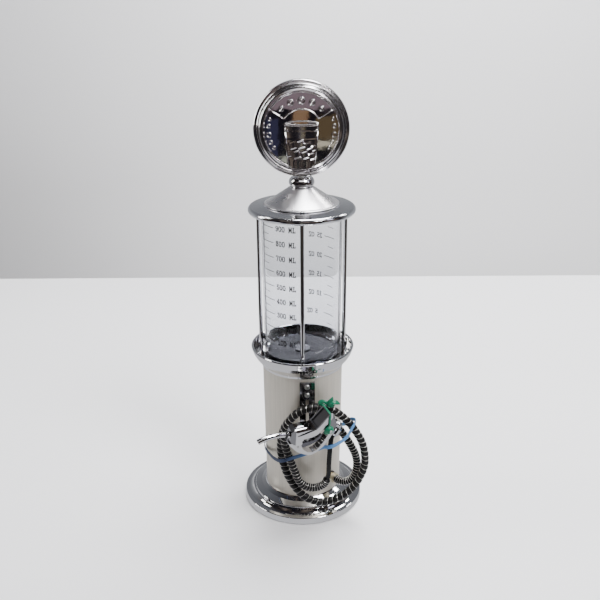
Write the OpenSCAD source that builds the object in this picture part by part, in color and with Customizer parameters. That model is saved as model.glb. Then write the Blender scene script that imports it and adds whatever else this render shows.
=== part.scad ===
// Table-top drinks dispenser in the shape of an old visible gas pump.
// A clear reservoir stands on a steel column, drains by gravity into a hose,
// and a small nozzle on the hose has a trigger valve. The globe and cone lift
// off together to fill the reservoir.
// Frame: millimetres, +Z up, origin at the centre of the underside. -Y is the front.

/* [Base] */
// Diameter of the base at the table
base_d = 140.6; // [136:0.2:150]
// Height of the upright rim of the base
base_rim_h = 8.7; // [7.5:0.1:10]
// Height at which the column stands
base_h = 21.7; // [20.5:0.1:24]

/* [Column] */
// Diameter of the column at its foot
column_foot_d = 88.4; // [86:0.2:89]
// Diameter of the column under the dish
column_top_d = 92; // [90:0.2:92.2]
// Thickness of the column's sheet
column_wall = 1.2; // [0.8:0.1:1.6]

/* [Dish] */
// Diameter of the dish over its rolled lip
dish_d = 117.4; // [115:0.2:122]
// Height of the floor of the dish
dish_floor_z = 187; // [186:0.1:188]

/* [Reservoir] */
// Outside diameter of the clear tube at its top
tube_top_d = 88.8; // [86:0.2:89.6]
// Outside diameter of the clear tube at its foot
tube_foot_d = 86.6; // [85.6:0.2:87.6]
// Wall of the clear tube
tube_wall = 3; // [2:0.1:3]
// Diameter of a tie rod
rod_d = 4.4; // [3.6:0.1:4.6]

/* [Lid and cap] */
// Diameter of the lid over its rolled edge
lid_d = 116.6; // [112:0.2:122]
// Height of the flat top of the lid
lid_top_z = 364.4; // [364:0.1:366]
// Diameter of the brim of the cone
cone_d = 80.8; // [76:0.2:88]
// Inside diameter of the filler neck
filler_d = 50; // [46:0.5:50]

/* [Globe] */
// Diameter of the globe
globe_d = 100.6; // [96:0.2:104]
// Half of the thickness of the globe
globe_half = 9; // [8.5:0.1:10]

/* [Hose] */
// Diameter of the hose over its black sleeve
sleeve_d = 9.5; // [8.5:0.1:9.5]
// Diameter of the bare tube inside the sleeve
tail_d = 5.5; // [5:0.1:6]

/* [Nozzle] */
// Width of the nozzle across its handle
nozzle_w = 19; // [15:0.5:19]
// Width of the trigger guard
guard_w = 9; // [8:0.5:10]
// Width of the trigger lever
trigger_w = 5; // [4:0.1:5]
// Outside diameter of the spout
spout_d = 6; // [5.6:0.1:6.4]

/* [Hidden] */

$fn = 96;
e = 0.05; // overshoot of a cutter
fit = 0.05; // radial clearance of a pin or a spigot

// Colours
chrome = [0.78, 0.79, 0.80];
satin = [0.72, 0.71, 0.67];
clear_grey = [0.80, 0.86, 0.88, 0.35];
rubber = [0.08, 0.08, 0.08];
dark_plastic = [0.22, 0.22, 0.22];
brass = [0.80, 0.66, 0.35];
steel = [0.60, 0.60, 0.61];
band_blue = [0.18, 0.33, 0.55];
tie_green = [0.10, 0.50, 0.33];

// Base
base_r = base_d / 2;
pad_h = 2;
skirt_gap = 1; // the skirt stands this far above the table
plate_h = 3;
plate_top = pad_h + plate_h;
plate_r = base_r - 1.9;
ballast_r = 54;
ballast_h = 8;
tier_r = base_r - 12; // crest of the upper tier
tier_z = 15.9;
clamp_r = 26; // pitch radius of the base screws
clamp_n = 3;
clamp_shank_r = 2.5;
bulkhead_h = 4;

// Column
column_foot_r = column_foot_d / 2;
column_top_r = column_top_d / 2;
column_top_z = 180;
function column_r(z) = column_foot_r
    + (column_top_r - column_foot_r) * (z - base_h) / (column_top_z - base_h);

// Dish
dish_r = dish_d / 2;
lip_r = 1.5;
lip_z = dish_floor_z + 11.5;
dish_under_z = dish_floor_z - 3.5;
drain_r = 6;

// Reservoir
seat_flange_h = 2.6;
seat_h = 7.6;
gasket_h = 0.8;
tube_foot_z = dish_floor_z + seat_flange_h + gasket_h;
lid_under_z = lid_top_z - 6.4;
tube_top_z = lid_under_z - gasket_h;
tube_foot_r = tube_foot_d / 2;
tube_top_r = tube_top_d / 2;
rod_r = rod_d / 2;
rod_pitch_r = 47.3;
rod_foot_z = dish_floor_z - 3.6;
rod_top_z = lid_under_z + 4;
rod_nut_r = 3.3;
rod_nut_h = 2.4;

// Lid and cap
lid_r = lid_d / 2;
neck_in_r = filler_d / 2;
neck_out_r = neck_in_r + 2;
neck_top_z = lid_top_z + 4.1;
seal_h = 0.4;
brim_z = lid_top_z + seal_h;
cone_r = cone_d / 2;
cone_top_z = brim_z + 18.4;
cone_top_r = 13.2;
cone_wall = 1.4;
cone_in_r = 10.6; // inside of the cone: its flat top
cone_skirt_r = cone_r - 6; // and the foot of its slope
function cone_under(r) = cone_top_z - cone_wall
    - (r - cone_in_r) * (cone_top_z - cone_wall - brim_z - 2.2) / (cone_skirt_r - cone_in_r);
stud_r = 2.5;

// Globe
globe_r = globe_d / 2;
globe_z = 444.7;
globe_foot_z = globe_z - globe_r;
globe_wall = 1.5;
boss_r = 4;
screw_ring_r = 33;
face_y = globe_half - 1.2; // depth of the flat middle of each face

// Outlet, on the column's front right
outlet_z = 40;
outlet_turn = 47; // degrees to the right of the front
outlet_dir = [sin(outlet_turn), -cos(outlet_turn), 0];
outlet_skin = column_r(outlet_z);
hose_start = 50; // distance from the axis at which the hose begins

// Hook
hook_x = 5;
hook_w = 17;
hook_t = 1.6;
hook_slot = 3.5;
hook_foot_z = [152, 173];
hook_screw_z = [157.5, 167.5];
hook_floor_z = 131;
hook_reach = 68.3;

// Route of the sleeved hose: two and a third turns, hung on the hook.
// The straight start follows the outlet's axis.
hose_route = [
    [36.6, -34.1, 40], [42.4, -39.6, 40], [49.3, -43.9, 41.5], [55.7, -46, 46], [60, -46.3, 53],
    [62.1, -45.7, 61.4], [62, -45.3, 70.6], [59.6, -45.8, 81], [54, -48, 94], [47, -50, 107], [38, -52, 121],
    [29, -53, 134], [19.3, -53, 141.4], [8, -53, 143.4], [-3, -53, 139.9], [-13, -53, 131],
    [-21, -53, 119], [-25, -52, 102], [-25, -52, 84], [-21, -54, 67], [-15, -57, 53],
    [-6, -60, 40], [5, -62, 31], [18, -62, 26], [32, -61, 27], [46, -59, 33],
    [57, -57, 42], [65, -56, 55], [70, -56, 70], [70, -57, 87], [66, -58, 104],
    [58, -58.5, 119], [48, -58, 132], [37, -58.5, 142], [24, -60.5, 149], [10, -62.7, 150],
    [-2, -63, 146], [-12, -63, 138], [-19, -63, 125], [-21, -63, 109], [-18, -63, 94],
    [-13.6, -63, 80], [-9.6, -63, 68.4], [-5.9, -63, 57.8], [-1.7, -63, 51.3], [4.3, -63, 47.3],
    [11, -63, 46], [18.4, -63.2, 47.6], [24.2, -63.6, 52.2], [27, -64.2, 58.2]];

// Route of the bare tube, from the end of the sleeve up to the nozzle's inlet.
tail_route = [
    [28.2, -64.8, 62.4], [28.8, -66.2, 68.5], [28.8, -68.2, 76], [29, -70, 85], [29.5, -70.6, 96],
    [30.2, -70.3, 106]];

// Route of the rubber band round the column, the coil and the tail.
band_route = concat([[-46.3, 0, 67], [-44.4, -16, 69], [-38, -36, 73], [-32, -54, 79], [-24, -69, 86],
    [-12, -71, 91], [4, -70, 96], [16, -69.5, 101], [23, -71, 105], [29, -77, 108.5], [37, -77, 112],
    [48, -71, 117], [54, -66, 125], [58, -61, 129.5], [58.5, -55, 130], [55, -48, 127],
    [50, -36, 118], [50.5, -12, 100]], [for (i = [0:9]) let (a = 14 + 16.8 * i) // then round the column's back
        [46.3 * cos(a), 46.3 * sin(a), 66 + 20 * pow(1 - i / 9, 2)]]);
band_w = 4;
band_t = 0.9;

// Route of the tie round the top of the coil.
tie_route = [
    [25, -46.6, 141], [25, -46.8, 133.5], [25.5, -53, 128.4], [26, -59.6, 132], [26.5, -62.4, 140.8],
    [27, -66, 145], [27.5, -66.4, 150], [27.5, -64, 154], [27, -58, 155], [26, -51, 150],
    [25.5, -47, 146]];
tie_r = 0.6;

// Nozzle: its own frame has +x from the spout to the handle and +z up.
nozzle_at = [-10.4, -92.2, 133.4];
nozzle_turn = [8, 0, 25];
pin_at = [4.5, -14.5]; // x and z of the trigger's pin
pin_r = 1.2;
stem_x = 17;
stem_r = 1.6;
stem_foot_z = -12.6;
chamber_r = 3;
chamber_top = 6.6;
nose_tilt = 16; // the spout leaves the body this far above level
spout_bend_r = 50;
spout_bend = 36;
spout_root = [-8.2, 2.2];
inlet_at = [54.5, -6]; // top of the inlet nut
inlet_tilt = -33; // lean of the inlet from the vertical

// A solid of revolution about Z from its outline of [radius, height]
module turned(outline) rotate_extrude() polygon(outline);

// Points of an arc, for an outline
function arc(c, r, a0, a1, n = 6) = [for (i = [0:n]) let (a = a0 + (a1 - a0) * i / n)
    [c[0] + r * cos(a), c[1] + r * sin(a)]];

module ring(r_in, r_out, h) difference() {
    cylinder(r = r_out, h = h);
    translate([0, 0, -e]) cylinder(r = r_in, h = h + 2 * e);
}

// Copies at equal angles about Z, the first at the front
module around(n, r, start = -90) for (i = [0:n - 1])
    rotate([0, 0, start + 360 * i / n]) translate([r, 0, 0]) children();

// Frames along a route, for the swept tubes
function unit(v) = v / norm(v);
function heading(p, i, closed) = let (n = len(p))
    closed ? unit(p[(i + 1) % n] - p[(i + n - 1) % n])
    : unit(p[min(i + 1, n - 1)] - p[max(i - 1, 0)]);
function square_to(u, t) = unit(u - (u * t) * t);
function sides_of(p, u0, closed) = [for (i = 0, u = square_to(u0, heading(p, 0, closed));
    i < len(p); i = i + 1, u = i < len(p) ? square_to(u, heading(p, i, closed)) : u) u];

// A tube swept along a route; shape gives the section's points as [across, out]
module swept(route, shape, closed = false, u0 = [0, 0, 1], upright = false) {
    n = len(route);
    m = len(shape);
    us = upright ? [for (i = [0:n - 1]) square_to(u0, heading(route, i, closed))]
        : sides_of(route, u0, closed);
    points = [for (i = [0:n - 1]) let (t = heading(route, i, closed), w = cross(t, us[i]))
        for (s = shape) route[i] + s[0] * w + s[1] * us[i]];
    steps = closed ? n : n - 1;
    walls = [for (i = [0:steps - 1], k = [0:m - 1]) let (a = i * m, b = ((i + 1) % n) * m,
        l = (k + 1) % m) each [[a + k, a + l, b + k], [a + l, b + l, b + k]]];
    caps = closed ? [] : [[for (k = [m - 1:-1:0]) k], [for (k = [0:m - 1]) (n - 1) * m + k]];
    polyhedron(points, concat(walls, caps), convexity = 10);
}
function round_section(d, n) = [for (i = [0:n - 1]) d / 2 * [cos(360 * i / n), sin(360 * i / n)]];

// Base

module base_pad() color(rubber) cylinder(r = plate_r - 2, h = pad_h);

module clamp_holes(h) around(clamp_n, clamp_r) translate([0, 0, -e])
    cylinder(r = clamp_shank_r + 0.3, h = h + 2 * e);

module clamp_screw() {
    cylinder(r1 = 4.6, r2 = clamp_shank_r, h = 2.1);
    cylinder(r = clamp_shank_r, h = base_h + bulkhead_h - pad_h - 0.5);
}

module base_plate() color(steel) difference() {
    translate([0, 0, pad_h]) cylinder(r = plate_r, h = plate_h);
    clamp_holes(plate_top);
    around(clamp_n, clamp_r) translate([0, 0, pad_h - e]) cylinder(r1 = 5.2, r2 = 2.7, h = 2.5);
}

module ballast() color(dark_plastic) difference() {
    translate([0, 0, plate_top]) cylinder(r = ballast_r, h = ballast_h);
    clamp_holes(plate_top + ballast_h);
}

module base_screws() color(steel) around(clamp_n, clamp_r) translate([0, 0, pad_h + 0.1]) clamp_screw();

module base_skirt() color(chrome) {
    r = base_r;
    turned(concat(
        [[r - 1.7, skirt_gap], [r, skirt_gap]],
        arc([r - 0.9, base_rim_h - 0.9], 0.9, 0, 90),
        [[r - 3, base_rim_h + 0.1]],
        arc([r - 2.6, base_rim_h + 8], 8, 258, 205, 5),
        [[tier_r + 0.6, tier_z - 2.6]],
        arc([tier_r - 0.9, tier_z - 0.9], 1, -20, 70, 5),
        [[tier_r - 8, tier_z + 2.3], [column_foot_r + 1.6, base_h - 1.2]],
        [[column_foot_r + 0.9, base_h], [34, base_h], [34, base_h - 2]],
        [[column_foot_r, base_h - 2.6], [tier_r - 8.5, tier_z + 0.4], [tier_r - 1.8, tier_z - 1.7]],
        [[tier_r - 1, tier_z - 4], [r - 4, base_rim_h - 1.6], [r - 4, plate_top]],
        [[r - 1.7, plate_top]]));
}

module column_bulkhead() color(steel) difference() {
    translate([0, 0, base_h]) cylinder(r = column_foot_r - column_wall - fit, h = bulkhead_h);
    translate([0, 0, base_h - e]) around(clamp_n, clamp_r)
        cylinder(r = clamp_shank_r, h = bulkhead_h + 2 * e);
}

// Column and dish

module at_outlet() rotate([0, 0, outlet_turn - 90]) translate([0, 0, outlet_z]) rotate([0, 90, 0]) children();

module column() color(satin) difference() {
    translate([0, 0, base_h])
        cylinder(r1 = column_foot_r, r2 = column_top_r, h = column_top_z - base_h);
    translate([0, 0, base_h - e])
        cylinder(r1 = column_foot_r - column_wall, r2 = column_top_r - column_wall,
            h = column_top_z - base_h + 2 * e);
    at_outlet() translate([0, 0, 30]) cylinder(r = 5, h = 30);
    for (z = hook_screw_z) translate([hook_x, -60, z]) rotate([-90, 0, 0]) cylinder(r = 1.5, h = 30);
}

module dish() color(chrome) difference() {
    turned(concat(
        [[drain_r + 0.2, dish_under_z], [column_top_r - 3, dish_under_z], [column_top_r - 3, column_top_z]],
        [[column_top_r + 0.2, column_top_z], [column_top_r + 0.2, column_top_z - 3]],
        [[column_top_r + 1.1, column_top_z - 3], [column_top_r + 1.5, column_top_z - 0.5]],
        [[column_top_r + 4, dish_under_z - 0.8], [dish_r - 5.2, dish_under_z + 3.4]],
        [[dish_r - 2.2, dish_under_z + 8.4], [dish_r - 0.6, lip_z - 1.9]],
        arc([dish_r - lip_r, lip_z], lip_r, -20, 190, 8),
        [[dish_r - 4, dish_floor_z + 5], [dish_r - 5.8, dish_floor_z + 1.6]],
        [[dish_r - 7.7, dish_floor_z], [drain_r + 0.2, dish_floor_z]]));
    around(4, rod_pitch_r) translate([0, 0, rod_foot_z - 0.4])
        cylinder(r = rod_r, h = 10, $fn = 32);
}

// Reservoir

module reservoir_seat() color(dark_plastic) turned([
    [drain_r + 0.2, dish_floor_z], [tube_foot_r - 0.1, dish_floor_z],
    [tube_foot_r - 0.1, dish_floor_z + seat_flange_h],
    [tube_foot_r - tube_wall - 0.4, dish_floor_z + seat_flange_h],
    [tube_foot_r - tube_wall - 0.4, dish_floor_z + seat_h],
    [tube_foot_r - tube_wall - 2.4, dish_floor_z + seat_h + 0.4],
    [tube_foot_r - tube_wall - 4, dish_floor_z + seat_h - 0.4],
    [10, dish_floor_z + seat_h - 1.4], [drain_r + 0.2, dish_floor_z + seat_h - 1.4]]);

module lower_gasket() color(rubber) translate([0, 0, dish_floor_z + seat_flange_h])
    ring(tube_foot_r - tube_wall - 0.2, tube_foot_r - 0.1, gasket_h);

module reservoir_tube() color(clear_grey) difference() {
    translate([0, 0, tube_foot_z]) cylinder(r1 = tube_foot_r, r2 = tube_top_r, h = tube_top_z - tube_foot_z);
    translate([0, 0, tube_foot_z - e]) cylinder(r1 = tube_foot_r - tube_wall, r2 = tube_top_r - tube_wall,
        h = tube_top_z - tube_foot_z + 2 * e);
}

module upper_gasket() color(rubber) translate([0, 0, tube_top_z])
    ring(tube_top_r - tube_wall, tube_top_r, gasket_h);

module tie_rods() color(chrome) around(4, rod_pitch_r) translate([0, 0, rod_foot_z])
    cylinder(r = rod_r, h = rod_top_z - rod_foot_z, $fn = 32);

module rod_nuts() color(chrome) around(4, rod_pitch_r) translate([0, 0, dish_floor_z])
    ring(rod_r + fit, rod_nut_r, rod_nut_h);

// Lid and filler

module lid() color(chrome) difference() {
    turned(concat(
        [[neck_out_r + fit, lid_top_z - 2.4], [38, lid_top_z - 2.4], [40, lid_under_z]],
        [[lid_r - 6.5, lid_under_z], [lid_r - 6.2, lid_under_z - 1.8], [lid_r - 4.6, lid_under_z - 2.2]],
        arc([lid_r - 3.6, lid_top_z - 5.2], 3.6, -60, 76, 10),
        [[lid_r - 9, lid_top_z - 1], [41.4, lid_top_z], [neck_out_r + fit, lid_top_z]]));
    around(4, rod_pitch_r) translate([0, 0, lid_under_z - e]) cylinder(r = rod_r, h = 4.6, $fn = 32);
}

module filler_neck() color(dark_plastic) turned([
    [neck_in_r, lid_under_z], [neck_out_r + 5, lid_under_z + 1.6], [neck_out_r + 5, lid_top_z - 2.4],
    [neck_out_r, lid_top_z - 2.4], [neck_out_r, neck_top_z - 0.6], [neck_out_r - 0.6, neck_top_z],
    [neck_in_r + 0.4, neck_top_z], [neck_in_r, neck_top_z - 0.6]]);

module cap_seal() color(rubber) translate([0, 0, lid_top_z]) ring(35.6, 39, seal_h);

// Cap and globe, which lift off together

module cone_cap() color(chrome) turned(concat(
    [[cone_r - 1, brim_z], [cone_r, brim_z + 0.5], [cone_r, brim_z + 1.2], [cone_r - 0.6, brim_z + 1.7]],
    arc([cone_r - 1.5, brim_z + 5], 3.4, 268, 236, 5),
    [[cone_top_r + 1, cone_top_z - 0.6], [cone_top_r, cone_top_z]],
    [[stud_r + fit, cone_top_z], [stud_r + fit, cone_top_z - cone_wall]],
    [[cone_in_r, cone_under(cone_in_r)], [cone_skirt_r, cone_under(cone_skirt_r)]],
    [[cone_r - 5.4, brim_z + 0.4], [cone_r - 3, brim_z]]));

// A ring inside the cone that slips over the filler neck
module cap_guide() color(dark_plastic) turned([
    [neck_out_r + 0.4, brim_z], [cone_skirt_r - 0.5, brim_z],
    [cone_skirt_r - 0.5, cone_under(cone_skirt_r - 0.5)],
    [neck_out_r + 0.4, cone_under(neck_out_r + 0.4)]]);

module cap_nut() color(steel) translate([0, 0, cone_top_z - cone_wall - 4]) difference() {
    union() {
        cylinder(r = 4.6, h = 4, $fn = 6);
        translate([0, 0, 3]) cylinder(r = 6.5, h = 1);
    }
    translate([0, 0, -e]) cylinder(r = stud_r + fit, h = 5);
}

module globe_stud() color(steel) translate([0, 0, cone_top_z - cone_wall - 6])
    cylinder(r = stud_r, h = globe_foot_z + 15 - cone_top_z + cone_wall + 6);

module globe_neck() color(chrome) turned(concat(
    [[stud_r + fit, cone_top_z], [cone_top_r - 1, cone_top_z], [cone_top_r - 2, cone_top_z + 0.4]],
    arc([7.9, cone_top_z + 5.6], 5.9, -58, 62, 10),
    [[7.4, globe_foot_z - 0.3], [stud_r + fit, globe_foot_z - 0.3]]));

// The globe's shells are turned about Y; z is the depth towards the front here
module about_y() translate([0, 0, globe_z]) rotate([90, 0, 0]) children();

module stud_hole() translate([0, 0, globe_foot_z - 1]) cylinder(r = boss_r + fit, h = 8);

module globe_shell() turned(concat(
    [[0, face_y], [0, face_y - globe_wall], [globe_r - 12.6, face_y - globe_wall]],
    [[globe_r - 10.4, globe_half - globe_wall], [globe_r - 5, 4.2], [globe_r - 2, 2.4], [globe_r - 2, 0.1]],
    [[globe_r, 0.1], [globe_r, 2.2]],
    arc([globe_r - 1.8, 2.4], 1.8, 10, 100, 4),
    arc([globe_r - 5.1, 4.8], 1.3, 5, 110, 4),
    arc([globe_r - 8, 6.8], 1.5, 5, 110, 4),
    [[globe_r - 10.2, globe_half], [globe_r - 11, globe_half], [globe_r - 12, face_y]]));

module at_globe_screws() for (a = [45:90:315]) rotate([0, 0, a]) translate([screw_ring_r, 0, 0]) children();

module globe_front() color(chrome) difference() {
    about_y() {
        globe_shell();
        at_globe_screws() difference() {
            translate([0, 0, -1]) cylinder(r = 2.8, h = face_y - globe_wall + 1);
            translate([0, 0, -2]) cylinder(r = 1.2, h = 6);
        }
    }
    stud_hole();
}

module globe_back() color(chrome) difference() {
    about_y() mirror([0, 0, 1]) difference() {
        globe_shell();
        at_globe_screws() {
            cylinder(r = 1.5, h = 20);
            translate([0, 0, face_y - 1.2]) cylinder(r1 = 1.5, r2 = 2.9, h = 1.3);
        }
    }
    stud_hole();
}

module globe_boss() color(steel) difference() {
    translate([0, 0, globe_foot_z - 0.3]) cylinder(r = boss_r, h = 17);
    translate([0, 0, globe_foot_z - 0.3 - e]) cylinder(r = stud_r, h = 15.5);
}

module globe_screws() color(steel) about_y() mirror([0, 0, 1]) at_globe_screws() {
    translate([0, 0, face_y - 1.1]) cylinder(r1 = 1.4, r2 = 2.6, h = 1);
    translate([0, 0, -3.5]) cylinder(r = 1.2, h = face_y + 2.6);
}

// A tumbler under a plain arch, as a raised badge
module globe_emblem() color(chrome) translate([0, -face_y, globe_z]) rotate([90, 0, 0]) linear_extrude(0.8) {
    polygon([[-13.5, -33], [-10, -36], [10, -36], [13.5, -33], [17, 2], [-17, 2]]);
    intersection() {
        difference() {
            circle(r = 33);
            circle(r = 24);
        }
        polygon([[0, 0], [-40, 34], [-40, 60], [40, 60], [40, 34]]);
    }
}

// Drain and outlet

module drain_fitting() color(brass) difference() {
    union() {
        translate([0, 0, dish_floor_z + seat_h - 1.4]) cylinder(r = 9, h = 1.4);
        translate([0, 0, 172]) cylinder(r = drain_r, h = dish_floor_z + seat_h - 172);
        translate([0, 0, 160]) cylinder(r = 3.6, h = 13);
        translate([0, 0, 161]) cylinder(r1 = 3.4, r2 = 4.3, h = 3);
    }
    translate([0, 0, 159]) cylinder(r = 2.4, h = 40);
}

module drain_washer() color(rubber) translate([0, 0, dish_under_z - 1]) ring(drain_r + 0.1, 10, 1);

module drain_nut() color(brass) translate([0, 0, dish_under_z - 5]) difference() {
    cylinder(r = 10, h = 4, $fn = 6);
    translate([0, 0, -e]) cylinder(r = drain_r + fit, h = 5);
}

inner_hose_route = [[0, 0, 160], [0, 0, 148], [-2, 3, 130], [-5, 8, 110], [-8, 10, 90], [-8, 7, 70],
    [-4, 0, 54], [3, -5, 44], [12, -11.1, 40], [17.92, -16.71, 40], [21.9, -20.42, 40]];

module inner_hose() color(clear_grey) swept(inner_hose_route, round_section(9, 10), u0 = [1, 0, 0]);

module inner_hose_clips() color(steel) {
    translate([0, 0, 152]) ring(4.6, 5.4, 5);
    at_outlet() translate([0, 0, 26]) ring(4.6, 5.4, 3);
}

module outlet_fitting() color(brass) at_outlet() difference() {
    union() {
        translate([0, 0, outlet_skin + 1.1]) cylinder(r = 6, h = 2.6, $fn = 6);
        translate([0, 0, 36]) cylinder(r = 4.9, h = outlet_skin - 34);
        translate([0, 0, 30]) cylinder(r = 3.2, h = 7);
        translate([0, 0, outlet_skin + 3]) cylinder(r = 2.7, h = hose_start - outlet_skin - 3);
    }
    translate([0, 0, 29]) cylinder(r = 1.6, h = 30);
}

module outlet_washer() color(rubber) at_outlet() translate([0, 0, outlet_skin + 0.1]) ring(4.95, 6.8, 1);

module outlet_nut() color(brass) at_outlet() difference() {
    translate([0, 0, 39]) cylinder(r = 8, h = 3, $fn = 6);
    translate([0, 0, 38]) cylinder(r = 4.9 + fit, h = 5);
}

module hose_ferrule() color(brass) at_outlet() translate([0, 0, outlet_skin + 3.8])
    ring(sleeve_d / 2 + 0.1, sleeve_d / 2 + 1.1, 5);

module hose() color(rubber) swept(hose_route, round_section(sleeve_d, 10));

// Hook

module hook_prong(x0, x1) translate([x0, 0, 0]) rotate([90, 0, 90]) linear_extrude(x1 - x0) polygon(concat(
    [[-46.1, hook_foot_z[0] + 1], [-46.1, hook_floor_z + 5]],
    arc([-51.1, hook_floor_z + 5], 5, 0, -90),
    [[-hook_reach + 4, hook_floor_z]],
    arc([-hook_reach + 4, hook_floor_z + 4], 4, -90, -180),
    [[-hook_reach, hook_floor_z + 7], [-hook_reach + hook_t, hook_floor_z + 7]],
    arc([-hook_reach + 4, hook_floor_z + 4], 4 - hook_t, -180, -90),
    [[-51.1, hook_floor_z + hook_t]],
    arc([-51.1, hook_floor_z + 5], 5 - hook_t, -90, 0),
    [[-46.1 - hook_t, hook_foot_z[0] + 1]]));

module hose_hook() color(chrome) difference() {
    union() {
        translate([hook_x - hook_w / 2, -50, hook_foot_z[0]])
            cube([hook_w, 10, hook_foot_z[1] - hook_foot_z[0]]);
        hook_prong(hook_x - hook_w / 2, hook_x - hook_slot / 2);
        hook_prong(hook_x + hook_slot / 2, hook_x + hook_w / 2);
    }
    cylinder(r1 = column_r(0) + 0.05, r2 = column_r(220) + 0.05, h = 220);
    difference() {
        translate([-30, -60, hook_foot_z[0] - e]) cube([60, 40, 40]);
        cylinder(r1 = column_r(0) + 0.05 + hook_t + 0.6, r2 = column_r(220) + 0.05 + hook_t + 0.6, h = 220);
    }
    for (z = hook_screw_z) translate([hook_x, -60, z]) rotate([-90, 0, 0]) cylinder(r = 1.7, h = 30);
}

module hook_screws() color(steel) for (z = hook_screw_z) translate([hook_x, -column_r(z) - hook_t - 0.6, z])
    rotate([-90, 0, 0]) {
        cylinder(r = 1.5, h = 8);
        intersection() {
            translate([0, 0, -2.05]) cylinder(r = 2.9, h = 2);
            translate([0, 0, 1.6]) sphere(r = 3.7);
        }
    }

module rubber_band() color(band_blue) swept(band_route,
    [[-band_t / 2, -band_w / 2], [band_t / 2, -band_w / 2], [band_t / 2, band_w / 2], [-band_t / 2, band_w / 2]],
    closed = true, upright = true);

module twist_tie() color(tie_green) swept(tie_route, round_section(2 * tie_r, 8), closed = true, u0 = [1, 0, 0]);

// Nozzle

module nozzle_frame() translate(nozzle_at) rotate(nozzle_turn) children();

// A plate in the nozzle's x-z plane, centred on its middle plane
module side_plate(w) rotate([90, 0, 0]) translate([0, 0, -w / 2]) linear_extrude(w) children();

// A plate in the nozzle's x-y plane
module plan_plate(z0, z1) translate([0, 0, z0]) linear_extrude(z1 - z0) children();

// Outline of the body from the side, and the space that its crown and its width leave
module body_outline() polygon([[-2, -8.5], [-5.2, -6], [-5.6, 1], [-4.2, 8], [0, 11.4], [5, 12.4],
    [9, 12], [15, 9], [20, 6.9], [23, 7.4], [26.3, 10], [33, 17], [39.4, 23.6], [41.2, 23.8],
    [43.6, 20.6], [46, 14], [49, 8], [50, 2.5], [46, -2.5], [41, -2.5], [36, 1.6], [31, 0.4],
    [25, -1.5], [8, -1.5], [6, -8.5]]);

// A narrow hump stands over the valve; the sides reach only the height of the two bars
module body_crown() {
    intersection() {
        translate([-10, 0, 2.8]) rotate([0, 90, 0]) cylinder(r = 9.6, h = 31);
        translate([-10, -8.2, -20]) cube([31, 16.4, 40]);
    }
    side_plate(2 * 10) polygon([[-10, -20], [21, -20], [21, 6.9], [3, 3.4], [-10, 1]]);
    translate([21, -10, -20]) cube([40, 20, 60]);
}

// Space under each bar, outside the middle block that holds the valve
module side_opening() polygon([[8.5, -12], [6, -3.8], [15, -2], [22, -0.6], [25.6, 1.2], [31, 6.2],
    [37, 12], [42, 16.6], [60, 17], [60, -12]]);

// Shallow tray in the top of the handle, open at neither end
module handle_tray() polygon([[25.4, 7.2], [38.2, 20.3], [36.4, 24], [23, 10.6]]);

module nozzle_body() color(chrome) nozzle_frame() difference() {
    intersection() {
        side_plate(nozzle_w) body_outline();
        plan_plate(-20, 40) polygon([[-6, -4.5], [-6, 4.5], [2, nozzle_w / 2 - 0.5], [8, nozzle_w / 2],
            [30, nozzle_w / 2], [40, nozzle_w / 2 - 0.8], [46, 6], [51, 5], [51, -5], [46, -6],
            [40, 0.8 - nozzle_w / 2], [30, -nozzle_w / 2], [8, -nozzle_w / 2], [2, 0.5 - nozzle_w / 2]]);
        body_crown();
    }
    for (side = [-1, 1]) translate([0, side * 9.8, 0]) side_plate(10) side_opening();
    side_plate(nozzle_w - 3.8) handle_tray();
    translate([stem_x, 0, -4]) cylinder(r = chamber_r, h = chamber_top + 4);
    translate([-6, 0, 1.6]) rotate([0, 90 + nose_tilt, 0]) cylinder(r = 1.5, h = 5);
    translate([-1.6, 0, 0.6]) rotate([0, 90, 0]) cylinder(r = 1.4, h = stem_x);
    translate([stem_x, 0, 4.6]) rotate([0, 90, 0]) cylinder(r = 1.3, h = 27);
    translate([43.5, 0, 4.8]) rotate([0, 120, 0]) cylinder(r = 1.3, h = 8);
}

module trigger_guard() color(chrome) nozzle_frame() difference() {
    side_plate(guard_w) polygon([[-2, -8.5], [-6.4, -7.4], [-5.4, -10.6], [-1, -16], [4, -21.6],
        [12, -26.8], [18, -29.6], [22, -30.2], [28, -28], [37, -21.2], [42.6, -13.2], [47.2, -4.8],
        [46, -2.5], [41, -2.5], [40, -8], [36, -15], [31, -21.6], [27, -25.2], [22, -26.8], [17, -25.4],
        [12.6, -22], [9.6, -18], [8, -13.5], [6, -8.5]]);
    translate([1, -trigger_w / 2 - 0.3, -20.9]) cube([11, trigger_w + 0.6, 14]);
    translate([pin_at[0], -10, pin_at[1]]) rotate([-90, 0, 0]) cylinder(r = pin_r, h = 20);
}

module along_nose() translate([spout_root[0], 0, spout_root[1]]) rotate([0, -90 + nose_tilt, 0]) children();

module spout_collar() color(chrome) nozzle_frame() difference() {
    along_nose() translate([0, 0, -3]) cylinder(r = 3.9, h = 3);
    along_nose() translate([0, 0, -10]) cylinder(r = 2, h = 20);
    translate([-5.6, -10, -10]) cube([20, 20, 30]);
}

module spout_ring() color(rubber) nozzle_frame() along_nose() rotate_extrude() translate([3.3, 1.2])
    circle(r = 1.2, $fn = 24);

// The spout's centre line turns downwards about a centre below its root
module spout() color(chrome) nozzle_frame() along_nose() translate([0, 0, 2.5]) rotate([0, 0, 180])
    translate([spout_bend_r, 0, 0]) rotate([90, 0, 180]) rotate_extrude(angle = spout_bend)
        translate([spout_bend_r, 0]) difference() {
            circle(r = spout_d / 2, $fn = 32);
            circle(r = spout_d / 2 - 0.8, $fn = 32);
        }

module at_inlet() translate([inlet_at[0], 0, inlet_at[1]]) rotate([0, 180 - inlet_tilt, 0]) children();

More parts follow.
